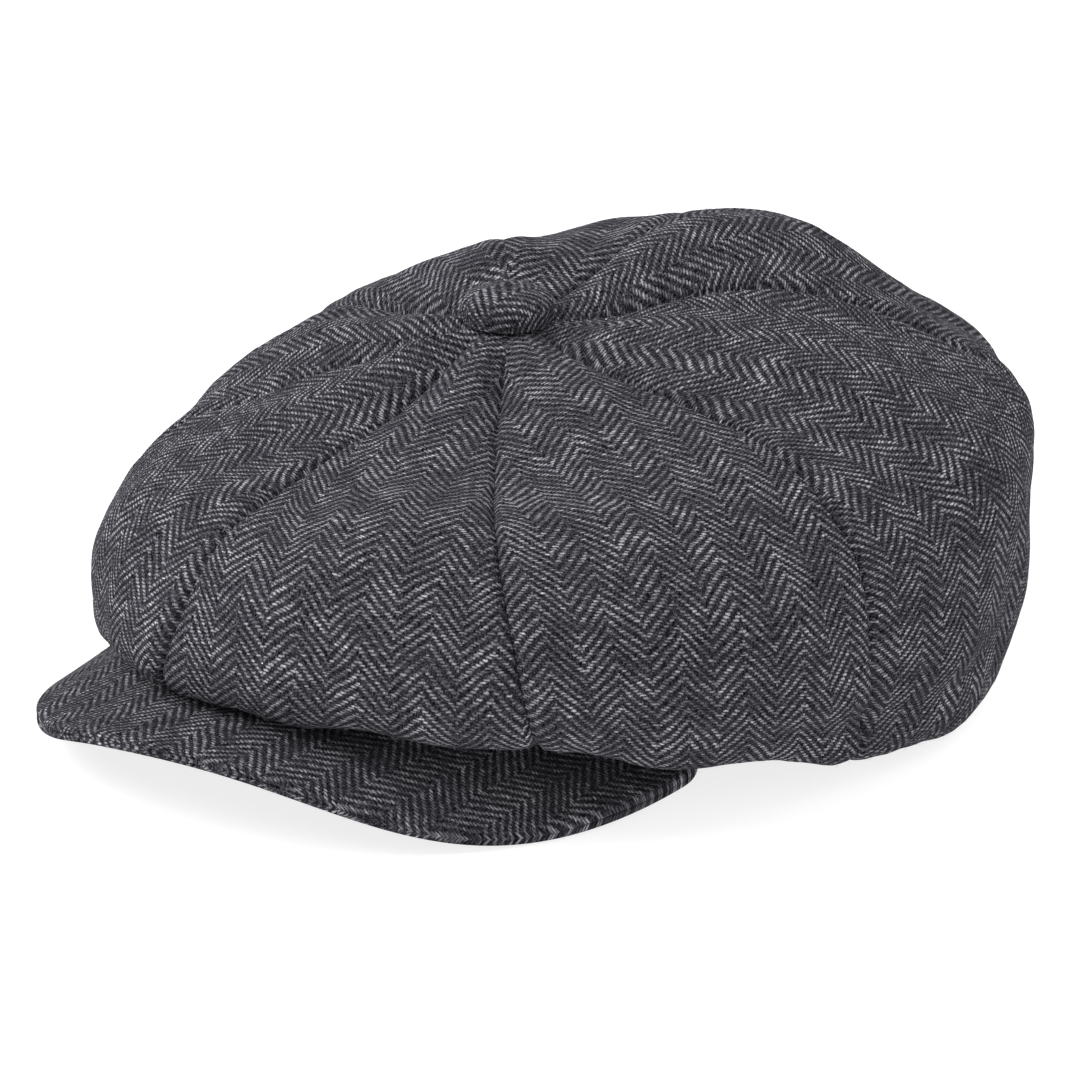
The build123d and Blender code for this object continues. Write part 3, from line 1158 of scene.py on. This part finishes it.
    def build(self, tweed: bpy.types.Material, lining: bpy.types.Material) -> None:
        """Make the eight outer gores and the eight lining gores.

        Args:
            tweed: finish of the outer gores.
            lining: finish of the lining gores.
        """
        for number, place in enumerate(PLACES):
            base, normal, angle, across, share = self.gore(number, self.rows, self.columns, 0.0, self.fill)
            flat = self.flat(base)
            points = base + normal * self.relief(base, angle, across, share, flat)[..., None]
            self.faces.append(points)
            flat = flat + np.array([0.0, self.cut_step * number])
            piece = closed_cloth(f"tweed_gore_{place}", points, flat, self.cap.crown.cloth, tweed)
            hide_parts(f"crown_panel_{place}")
            base, normal, angle, across, share = self.gore(
                number, self.lining_rows, self.lining_columns, self.lining_inset, self.lining_fill
            )
            flat = self.flat(base)
            sag = self.lining_slack + self.lining_sag * np.abs(ripple(base, 31, 14, 40))
            height = self.relief(base, angle, across, share, flat) - sag
            points = base + normal * height[..., None]
            piece = closed_cloth(f"satin_gore_{place}", points, flat, self.lining_cloth, lining)
            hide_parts(f"lining_gore_{place}")


# ---------------------------------------------------------------- head band
@dataclass
class HeadBand:
    """The oval band: tweed outside, grosgrain sweatband inside, stiffener between."""

    cap: Cap
    steps: int = 240
    rows: int = 15
    rounding: float = 0.35  # share of the thickness that each edge is rounded by
    bulge: float = 0.075

    def strip(
        self, name: str, inside: float, outside: float, material: bpy.types.Material, node: str
    ) -> None:
        """Make one strip of the band as a ring with rounded edges.

        Args:
            name: name of the piece.
            inside: distance of its inner face from the band's oval.
            outside: distance of its outer face from the band's oval.
            material: finish of the strip.
            node: CAD node that it stands for.
        """
        b = self.cap.band
        turn = np.linspace(0, 2 * math.pi, self.steps, endpoint=False)
        edge = (outside - inside) * self.rounding
        section = []
        for up in np.linspace(0.0, 1.0, self.rows):
            section.append((outside + self.bulge * math.sin(math.pi * up) - edge * (up in (0.0, 1.0)), up * b.height))
        for up in np.linspace(1.0, 0.0, self.rows):
            section.append((inside + edge * (up in (0.0, 1.0)), up * b.height))
        tilt = math.atan(b.slope)
        middle = self.cap.axis + np.array([0, b.set_back, (b.low_front + b.low_back) / 2])
        right, back = np.array([1.0, 0, 0]), np.array([0, math.cos(tilt), -math.sin(tilt)])
        up_way = np.array([0, math.sin(tilt), math.cos(tilt)])
        points, uv = [], []
        oval = np.stack([np.sin(turn) * b.width / 2, -np.cos(turn) * b.length / 2], axis=-1)
        round_length = np.concatenate([[0], np.cumsum(np.linalg.norm(np.diff(oval, axis=0), axis=-1))])
        for outset, up in section:
            x = np.sin(turn) * (b.width / 2 + outset)
            y = -np.cos(turn) * (b.length / 2 + outset)
            points.append(middle + x[:, None] * right + y[:, None] * back + up * up_way)
            uv.append(np.stack([round_length, np.full_like(turn, up)], axis=-1))
        points, uv = np.array(points), np.array(uv)
        faces = grid_faces(len(section), self.steps, closed=True)
        last = (len(section) - 1) * self.steps
        for c in range(self.steps):
            d = (c + 1) % self.steps
            faces.append((last + c, last + d, d, c))
        piece = mesh_object(name, points.reshape(-1, 3), faces, uv.reshape(-1, 2), material)
        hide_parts(node)

    def build(self, tweed: bpy.types.Material, grosgrain: bpy.types.Material) -> None:
        """Make the outer strip and the sweatband; the stiffener between them is the CAD node.

        Args:
            tweed: finish of the outer strip.
            grosgrain: finish of the sweatband.
        """
        b = self.cap.band
        self.strip("tweed_band", b.outer_from, b.outer_to, tweed, "outer_band")
        self.strip("grosgrain_band", 0.0, b.sweatband, grosgrain, "sweatband")


# ---------------------------------------------------------------- visor
@dataclass
class Visor:
    """Two tweed covers over a stiff board, sewn together along the rim."""

    cap: Cap
    along: int = 150
    across: int = 40
    seat_outset: float = 3.9  # inner edge, just outside the band and a little up its wall
    seat_up: float = 2.0
    edge_length: float = 140.0  # round half of the rim
    spacing: float = 0.999  # how far the rim's points crowd together at the corners
    flat_share: float = 0.8  # of each cover's rows lie over the board, and the rest go round the rim
    rim_share: float = 0.2
    least_share: float = 0.3  # of the width that the flat part keeps at the narrow ends
    rim_proud: float = 0.15
    rim_power: float = 0.6
    seam_pull: float = 0.4  # the rim's seam is drawn in this much
    seam_spread: float = 0.05
    pad: float = 0.3  # fullness of the cloth over the board
    uneven: float = 0.15
    cloth: float = 0.9
    board_rows: int = 24
    board_start: float = 0.02
    board_ease: float = 0.2
    faces: list = field(default_factory=list)

    def plan(self, share: np.ndarray) -> tuple:
        """Lay the visor out in plan.

        Args:
            share: places from the visor's right end, -1, to its left end, 1.

        Returns:
            Inner points and outer points at those places.
        """
        cap, v = self.cap, self.cap.visor
        angle = share * self.end_angle()
        reach = cap.band_reach(angle, self.seat_outset, self.seat_up)
        inner = np.stack([reach * np.sin(angle), -reach * np.cos(angle)], axis=-1)
        outer_end = math.acos((v.back - v.centre) / (v.reach - v.centre))
        outer = np.stack(cap.visor_edge(share * outer_end), axis=-1)
        width = np.linalg.norm(outer[0] - inner[0])
        corner_share = v.corner / self.edge_length
        tau = np.clip((np.abs(share) - (1 - corner_share)) / corner_share, 0, 1)
        keep = 1 - v.corner / width * (1 - np.sqrt(1 - tau**2))
        return inner, inner + (outer - inner) * keep[:, None]

    def end_angle(self) -> float:
        """Angle from the front where the inner edge reaches the visor's back line, found by halving.

        Returns:
            Angle in radians.
        """
        low, high = 0.3, math.pi / 2
        for _ in range(50):
            middle = (low + high) / 2
            ahead = -self.cap.band_reach(middle, self.seat_outset, self.seat_up) * math.cos(middle)
            low, high = (middle, high) if ahead < -self.cap.visor.back else (low, middle)
        return low

    def shell_height(self, flat: np.ndarray) -> np.ndarray:
        """Height of the visor's middle surface.

        Args:
            flat: points in plan.

        Returns:
            Height in millimetres.
        """
        cap, v = self.cap, self.cap.visor
        droop = v.droop * bell(flat[:, 0], v.droop_side, v.droop_spread)
        droop = droop * rise(-flat[:, 1], v.droop_from, v.droop_run)
        return cap.visor_front_height + cap.visor_climb(flat[:, 0], flat[:, 1]) - droop + v.thickness / 2

    def flat(self, grid: np.ndarray, inner: np.ndarray) -> np.ndarray:
        """Lay a cover flat.

        Args:
            grid: grid of the cover's points, from its inner edge to the rim.
            inner: inner edge in plan.

        Returns:
            Flat cloth coordinates: across the visor, and along it from back to front.
        """
        v = self.cap.visor
        step = np.linalg.norm(np.diff(grid, axis=0), axis=-1)
        length = np.cumsum(np.concatenate([np.zeros((1, grid.shape[1])), step]), axis=0)
        plan_run = np.maximum(np.linalg.norm(grid[..., :2] - inner[None], axis=-1), 1e-6)
        lengthways = inner[None, :, 1] + length * (grid[..., 1] - inner[None, :, 1]) / plan_run
        # The cloth bends over the crest, so it is longer than its plan by a curve of its middle fall
        run = np.linspace(0, v.width / 2 + 5, 200)
        drop = v.fall_front * 0.8 * np.sin(math.pi / 2 * (run / v.fall_reach) ** v.fall_power) ** 2
        over = np.concatenate([[0], np.cumsum(np.hypot(np.diff(run), np.diff(drop)))])
        across = np.interp(np.abs(grid[..., 0]), run, over) * np.sign(grid[..., 0])
        return np.stack([across, lengthways], axis=-1)

    def layout(self) -> tuple:
        """Find the inner edge, the way out from it and the visor's width, with places closer at the corners.

        Returns:
            Inner points, unit directions and widths, from the right end to the left end.
        """
        end = math.pi / 2 * self.spacing
        inner, outer = self.plan(np.sin(np.linspace(-1, 1, self.along) * end) / math.sin(end))
        way = outer - inner
        width = np.linalg.norm(way, axis=-1, keepdims=True)
        return inner, way / width, width

    def cover(self, name: str, face: Face, tweed: bpy.types.Material, node: str) -> None:
        """Make one cover: flat over the board, then round the rim to the seam.

        Args:
            name: name of the piece.
            face: face of the visor that it covers.
            tweed: finish of the cloth.
            node: CAD node that it stands for.
        """
        half = self.cap.visor.thickness / 2
        inner, way, width = self.layout()
        rows = []
        for k in np.linspace(0, 1, self.across):
            turn = max(k - self.flat_share, 0) / self.rim_share * math.pi / 2
            out = np.maximum(width - half, width * self.least_share) * min(k / self.flat_share, 1.0)
            out = out + (half + self.rim_proud) * math.sin(turn) - self.seam_pull * bell(1 - k, 0, self.seam_spread)
            flat = inner + way * out
            lift = half * math.cos(turn) ** self.rim_power + self.pad * math.sin(math.pi * k)
            z = self.shell_height(flat) + face.value * lift
            rows.append(np.concatenate([flat, z[:, None]], axis=-1))
        grid = np.array(rows)
        uv = self.flat(grid, inner)
        if face is Face.TOP:
            grid[..., 2] += self.uneven * ripple(grid, 41, 20, 50)
            grid = grid + self.cap.axis
            self.faces.append(grid)
        else:
            grid, uv = (grid + self.cap.axis)[:, ::-1], uv[:, ::-1]
        piece = closed_cloth(name, grid, uv, self.cloth, tweed)
        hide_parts(node)

    def board(self, material: bpy.types.Material) -> None:
        """Make the stiff board that lies between the covers.

        Args:
            material: finish of the board.
        """
        v = self.cap.visor
        inner, way, width = self.layout()
        run = np.maximum(width - v.hem - self.board_ease, width * self.least_share)
        rows = []
        for k in np.linspace(self.board_start, 1, self.board_rows):
            flat = inner + way * run * k
            z = self.shell_height(flat) + v.board / 2 - self.board_ease
            rows.append(np.concatenate([flat, z[:, None]], axis=-1))
        grid = np.array(rows)
        uv = self.flat(grid, inner)
        thickness = v.board - 2 * self.board_ease
        piece = closed_cloth("visor_board_plate", grid + self.cap.axis, uv, thickness, material)
        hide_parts("visor_board")

    def build(self, tweed: bpy.types.Material, board: bpy.types.Material) -> None:
        """Make both covers and the board between them.

        Args:
            tweed: finish of the covers.
            board: finish of the board.
        """
        self.cover("tweed_visor_top", Face.TOP, tweed, "visor_top_cover")
        self.cover("tweed_visor_under", Face.UNDER, tweed, "visor_under_cover")
        self.board(board)


# ---------------------------------------------------------------- button
@dataclass
class Button:
    """A shell covered in tweed that is drawn in under its rim."""

    cap: Cap
    rings: int = 44
    steps: int = 120
    pleats: int = 13
    pleat_depth: float = 0.03  # share of the radius
    spread: float = 0.5  # the cloth stands out from the shell
    lift: float = 0.6
    first_ring: float = 0.015
    wrap: float = 0.74  # share of a half turn that the cloth goes round
    belly: float = 0.34  # share of the height where the button is widest
    above: float = 0.66
    below: float = 0.62
    side_power: float = 0.78
    top_power: float = 0.85
    taper: float = 0.1
    drawn_in: tuple = (0.42, 0.4)
    lump: float = 0.12
    cloth_start: float = 3.0
    faces: list = field(default_factory=list)

    def build(self, tweed: bpy.types.Material) -> None:
        """Make the covered dome, a squashed ball with pleats where the cloth goes under.

        Args:
            tweed: finish of the cloth.
        """
        cap = self.cap
        turn = np.linspace(0, 2 * math.pi, self.steps, endpoint=False)
        height = cap.button_high - cap.button_low + self.lift
        belly = cap.button_low + self.belly * height
        points, uv = [], []
        length, last = 0.0, None
        for k in np.linspace(self.first_ring, 1, self.rings):
            a = k * math.pi * self.wrap
            up = math.cos(a)
            if up > 0:
                reach, z = math.sin(a) ** self.side_power, self.above * height * up**self.top_power
            else:
                reach, z = 1 + self.taper * up, self.below * height * up
            reach, z = (cap.button_radius + self.spread) * reach, belly + z
            if last is not None:
                length += math.hypot(reach - last[0], z - last[1])
            last = (reach, z)
            drawn = float(rise(k, *self.drawn_in))
            folds = 0.5 + 0.5 * np.cos(self.pleats * turn + 0.6 * np.sin(3 * turn))
            out = reach * (1 - self.pleat_depth * drawn * folds)
            lump = self.lump * np.sin(2 * turn + 1.0) * (1 - drawn)
            points.append(np.stack([out * np.sin(turn), -out * np.cos(turn), z + lump], axis=-1) + cap.axis)
            uv.append(np.stack([np.sin(turn), -np.cos(turn)], axis=-1) * (length + self.spread))
        points, uv = np.array(points), np.array(uv)
        faces = grid_faces(self.rings, self.steps, closed=True, flip=True)
        faces.append(tuple(range(self.steps)))
        faces.append(tuple(range((self.rings - 1) * self.steps, self.rings * self.steps))[::-1])
        uv = uv.reshape(-1, 2) + self.cloth_start
        piece = mesh_object("tweed_button", points.reshape(-1, 3), faces, uv, tweed)
        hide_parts("button_cover")
        self.faces.append(points[: self.rings // 2])


# ---------------------------------------------------------------- loose fibres
@dataclass
class Fuzz:
    """Wool fibres that curl off the brushed face of the tweed, in millimetres."""

    points_each: int = 6
    corners: int = 3
    seed: int = 7
    length: tuple = (1.5, 5.5)
    lift: tuple = (0.1, 0.9)
    lift_share: tuple = (0.3, 1.0)
    curl: float = 0.6  # share of the length
    arch: tuple = (1.6, 3.0)
    radius: tuple = (0.025, 0.05)  # a few times a real fibre's, so that it shows
    taper: float = 0.6
    clear: float = 0.04

    def strand(self, rng: np.random.Generator, start: np.ndarray, normal: np.ndarray, share: np.ndarray) -> list:
        """Make the points of one strand.

        Args:
            rng: seeded random numbers.
            start: where the fibre leaves the cloth.
            normal: way out from the cloth.
            share: shares of the way along the fibre.

        Returns:
            Points round the fibre, ring by ring.
        """
        way = np.cross(normal, rng.normal(size=3))
        way /= np.linalg.norm(way)
        side = np.cross(normal, way)
        long = rng.uniform(*self.length)
        lift = rng.uniform(*self.lift) * rng.uniform(*self.lift_share)
        curl = rng.uniform(-self.curl, self.curl) * long
        line = (
            start
            + way * (share * long * (1 - 0.3 * share**2))[:, None]
            + side * (curl * share**2)[:, None]
            + normal * (lift * np.sin(share * rng.uniform(*self.arch)) + self.clear)[:, None]
        )
        radius = rng.uniform(*self.radius) * (1 - self.taper * share)
        turns = [corner * 2 * math.pi / self.corners for corner in range(self.corners)]
        return [
            line[k] + radius[k] * (math.cos(a) * side + math.sin(a) * normal)
            for k in range(len(share))
            for a in turns
        ]

    def build(self, name: str, grids: list, count: int, material: bpy.types.Material) -> None:
        """Make thin three-sided strands on grids of the cloth's face.

        Args:
            name: name of the piece.
            grids: grids of points of the cloth's outer face, in millimetres.
            count: number of fibres.
            material: finish of the fibres.
        """
        rng = np.random.default_rng(self.seed + count)
        points, faces, uv = [], [], []
        share = np.linspace(0, 1, self.points_each)
        normals = [grid_normals(grid) for grid in grids]
        weights = np.array([np.linalg.norm(np.ptp(grid.reshape(-1, 3), axis=0)) ** 2 for grid in grids])
        for number in range(count):
            pick = rng.choice(len(grids), p=weights / weights.sum())
            grid = grids[pick]
            r = rng.integers(3, grid.shape[0] - 2)
            c = rng.integers(2, grid.shape[1] - 2)
            first = len(points)
            points += self.strand(rng, grid[r, c], normals[pick][r, c], share)
            uv += [(number, along) for along in share for _ in range(self.corners)]
            faces += grid_faces(self.points_each, self.corners, first, closed=True)
            faces.append((first + 2, first + 1, first))
            end = first + self.corners * (self.points_each - 1)
            faces.append((end, end + 1, end + 2))
        mesh_object(name, np.array(points), faces, np.array(uv, float), material)


# ---------------------------------------------------------------- CAD nodes that stay
def finish_nodes(finishes: dict) -> None:
    """Give the CAD nodes that stay in the cap their materials.

    Args:
        finishes: name of each node and its material.
    """
    for node, material in finishes.items():
        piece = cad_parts[node]
        for slot in piece.material_slots:
            slot.material = material
        if not piece.material_slots:
            piece.data.materials.append(material)
        log.info("%s: %s", node, material.name)


# ---------------------------------------------------------------- studio
@dataclass(frozen=True)
class Lamp:
    """A soft box: where it hangs, how large it is and how bright, in metres and watts."""

    name: str
    place: tuple
    size: float
    power: float
    colour: str = "#ffffff"


@dataclass(frozen=True)
class LightTable:
    """Opal acrylic, lit from behind: it glows evenly and stays pale under the cap."""

    name: str = "light_table_opal_acrylic"
    half: float = 4.0  # m
    colour: str = "#a0a0a0"
    glow_colour: str = "#ffffff"
    glow: float = 0.8
    roughness: float = 0.9

    def build(self) -> None:
        """Make the table's top, which is part of the stage."""
        mesh = bpy.data.meshes.new("light_table")
        corners = ((-1, -1), (1, -1), (1, 1), (-1, 1))
        mesh.from_pydata([(x * self.half, y * self.half, 0) for x, y in corners], [], [(0, 1, 2, 3)])
        material, _, shader = new_material(self.name)
        shader.inputs["Base Color"].default_value = linear(self.colour)
        shader.inputs["Roughness"].default_value = self.roughness
        shader.inputs["Emission Color"].default_value = linear(self.glow_colour)
        shader.inputs["Emission Strength"].default_value = self.glow
        mesh.materials.append(material)
        table = bpy.data.objects.new("light_table", mesh)
        bpy.context.scene.collection.objects.link(table)


@dataclass
class Studio:
    """White light table, soft boxes and the camera."""

    cap: Cap
    table: LightTable = LightTable()
    lamps: tuple = (
        Lamp("soft_box_left", (-1.1, -1.3, 1.7), 1.6, 52.0),
        Lamp("soft_box_right", (1.8, -0.9, 1.2), 1.4, 6.0),
        Lamp("soft_box_back", (0.6, 1.7, 1.8), 1.6, 19.0),
    )
    room_colour: str = "#ffffff"
    room: float = 0.62
    azimuth: float = 43.8  # degrees round from the front
    elevation: float = 17.6
    distance: float = 1.2  # m
    lens: float = 144.4  # mm
    sensor: float = 36.0  # mm
    shift: tuple = (0.030, -0.0405)
    look_height: float = 0.055  # m

    @property
    def target(self) -> Vector:
        """Point that the camera and the lamps look at."""
        return Vector(self.cap.axis * MM) + Vector((0, 0, self.look_height))

    def lights(self) -> None:
        """Hang the soft boxes in a pale room."""
        for lamp in self.lamps:
            data = bpy.data.lights.new(lamp.name, "AREA")
            data.shape = "DISK"
            data.size = lamp.size
            data.energy = lamp.power
            data.color = linear(lamp.colour)[:3]
            light = bpy.data.objects.new(lamp.name, data)
            light.location = lamp.place
            light.rotation_euler = (self.target - Vector(lamp.place)).to_track_quat("-Z", "Y").to_euler()
            bpy.context.scene.collection.objects.link(light)
        world = bpy.data.worlds.new("pale_room")
        world.use_nodes = True
        shade = world.node_tree.nodes["Background"]
        shade.inputs["Color"].default_value = linear(self.room_colour)
        shade.inputs["Strength"].default_value = self.room
        bpy.context.scene.world = world

    def camera(self) -> None:
        """Set the camera round to the wearer's left front, a little above the cap."""
        a, e = math.radians(self.azimuth), math.radians(self.elevation)
        back = Vector((math.sin(a) * math.cos(e), -math.cos(a) * math.cos(e), math.sin(e)))
        data = bpy.data.cameras.new("camera")
        data.lens = self.lens
        data.sensor_width = self.sensor
        data.shift_x, data.shift_y = self.shift
        camera = bpy.data.objects.new("camera", data)
        camera.location = self.target + back * self.distance
        camera.rotation_euler = (-back).to_track_quat("-Z", "Y").to_euler()
        bpy.context.scene.collection.objects.link(camera)
        bpy.context.scene.camera = camera

    def build(self) -> None:
        """Set up the whole studio."""
        self.table.build()
        self.lights()
        self.camera()
        bpy.context.scene.view_settings.view_transform = "Standard"
        log.info("studio: %d soft boxes", len(self.lamps))


def main() -> None:
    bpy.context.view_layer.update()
    cap = Cap()
    tweed = TWEED.build()
    lining = LINING.build()
    grosgrain = GROSGRAIN.build()
    crown, visor, button = Crown(cap), Visor(cap), Button(cap)
    crown.build(tweed, lining)
    HeadBand(cap).build(tweed, grosgrain)
    visor.build(tweed, BOARD.build())
    button.build(tweed)
    fuzz, fibre = Fuzz(), FIBRE.build()
    fuzz.build("wool_fibres_crown", crown.faces, 2400, fibre)
    fuzz.build("wool_fibres_visor", visor.faces, 420, fibre)
    fuzz.build("wool_fibres_button", button.faces, 70, fibre)
    shell = SHELL.build()
    finish_nodes(
        {
            "band_stiffener": STIFFENER.build(),
            "button_core": shell,
            "button_shank": shell,
        }
    )
    Studio(cap).build()


if __name__ == "__main__":
    main()
